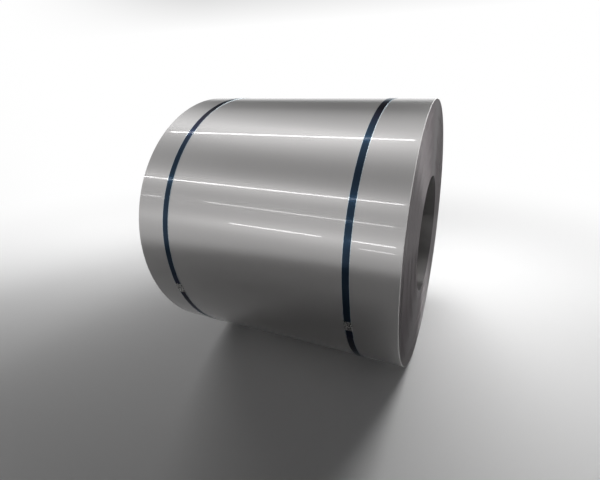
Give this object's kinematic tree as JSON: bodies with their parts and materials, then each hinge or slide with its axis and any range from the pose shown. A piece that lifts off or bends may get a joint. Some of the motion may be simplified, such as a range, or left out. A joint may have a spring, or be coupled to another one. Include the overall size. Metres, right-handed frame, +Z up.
{
  "type": "steel coil",
  "caption": "Coil of bright sheet steel lying on its side, with a round eye, tensioned dark steel straps and crimped strap seals.",
  "frame": {"origin": "on the floor, under the middle of the strip's width and the coil's axis", "axes": "+Z up, +X along the coil's axis towards the end that the picture shows, the right one"},
  "size_m": [1.223, 1.3517, 1.3517],
  "materials": {
    "sheet_steel": "bright cold-rolled sheet, fine lines along the strip",
    "strap_steel": "blue-black coating, bright slit edges",
    "seal_steel": "bare zinc-coated sheet, crimped"
  },
  "bodies": {
    "root": {"coil": "sheet_steel", "strap_left": "strap_steel", "strap_right": "strap_steel", "seal_left": "seal_steel", "seal_right": "seal_steel"}
  },
  "joints": []
}
